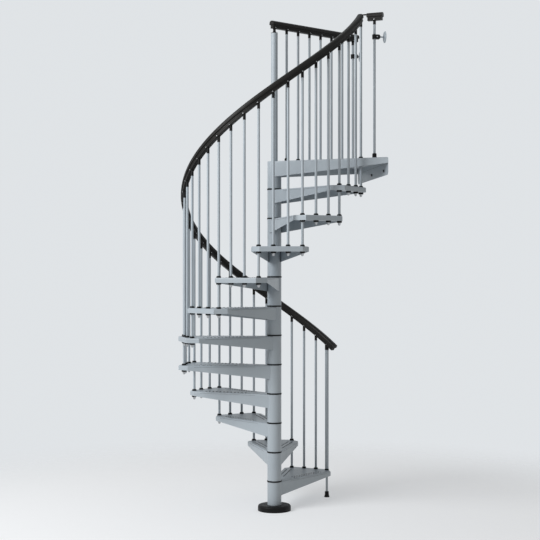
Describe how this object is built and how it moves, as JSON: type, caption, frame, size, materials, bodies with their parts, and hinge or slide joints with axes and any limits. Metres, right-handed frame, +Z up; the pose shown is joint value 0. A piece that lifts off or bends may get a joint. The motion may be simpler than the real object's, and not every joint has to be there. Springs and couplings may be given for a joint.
{
  "type": "spiral staircase",
  "caption": "Steel spiral staircase with folded tray treads round a centre post, a wedge landing, slim balusters and a black helical handrail.",
  "frame": {"origin": "on the floor, on the axis of the centre post, in the bottom face of the base flange", "axes": "+Z up; +X square to the wall that the landing bolts to, pointing into it; the stair climbs counter-clockwise about +Z"},
  "size_m": [1.4307, 1.3931, 3.573],
  "materials": {
    "grey_paint": "satin",
    "black_plastic": "matte",
    "handrail_black": "satin"
  },
  "bodies": {
    "root": {"base_flange": "grey_paint", "base_cover": "black_plastic", "centre_post": "grey_paint", "spacer_rings": "black_plastic", "tread_01": "grey_paint", "tread_02": "grey_paint", "tread_03": "grey_paint", "tread_04": "grey_paint", "tread_05": "grey_paint", "tread_06": "grey_paint", "tread_07": "grey_paint", "tread_08": "grey_paint", "tread_09": "grey_paint", "tread_10": "grey_paint", "tread_11": "grey_paint", "landing": "grey_paint", "balusters_01": "grey_paint", "balusters_02": "grey_paint", "balusters_03": "grey_paint", "balusters_04": "grey_paint", "balusters_05": "grey_paint", "balusters_06": "grey_paint", "balusters_07": "grey_paint", "balusters_08": "grey_paint", "balusters_09": "grey_paint", "balusters_10": "grey_paint", "balusters_11": "grey_paint", "start_newel": "grey_paint", "newel_foot": "black_plastic", "upper_collars": "black_plastic", "lower_washers": "black_plastic", "baluster_caps": "black_plastic", "spiral_handrail": "handrail_black", "landing_balusters": "grey_paint", "landing_feet": "black_plastic", "landing_caps": "black_plastic", "landing_handrail_back": "handrail_black", "landing_handrail_front": "handrail_black", "handrail_link": "handrail_black", "post_cap": "black_plastic", "wall_clamps": "black_plastic", "wall_rosettes": "grey_paint"}
  },
  "joints": []
}
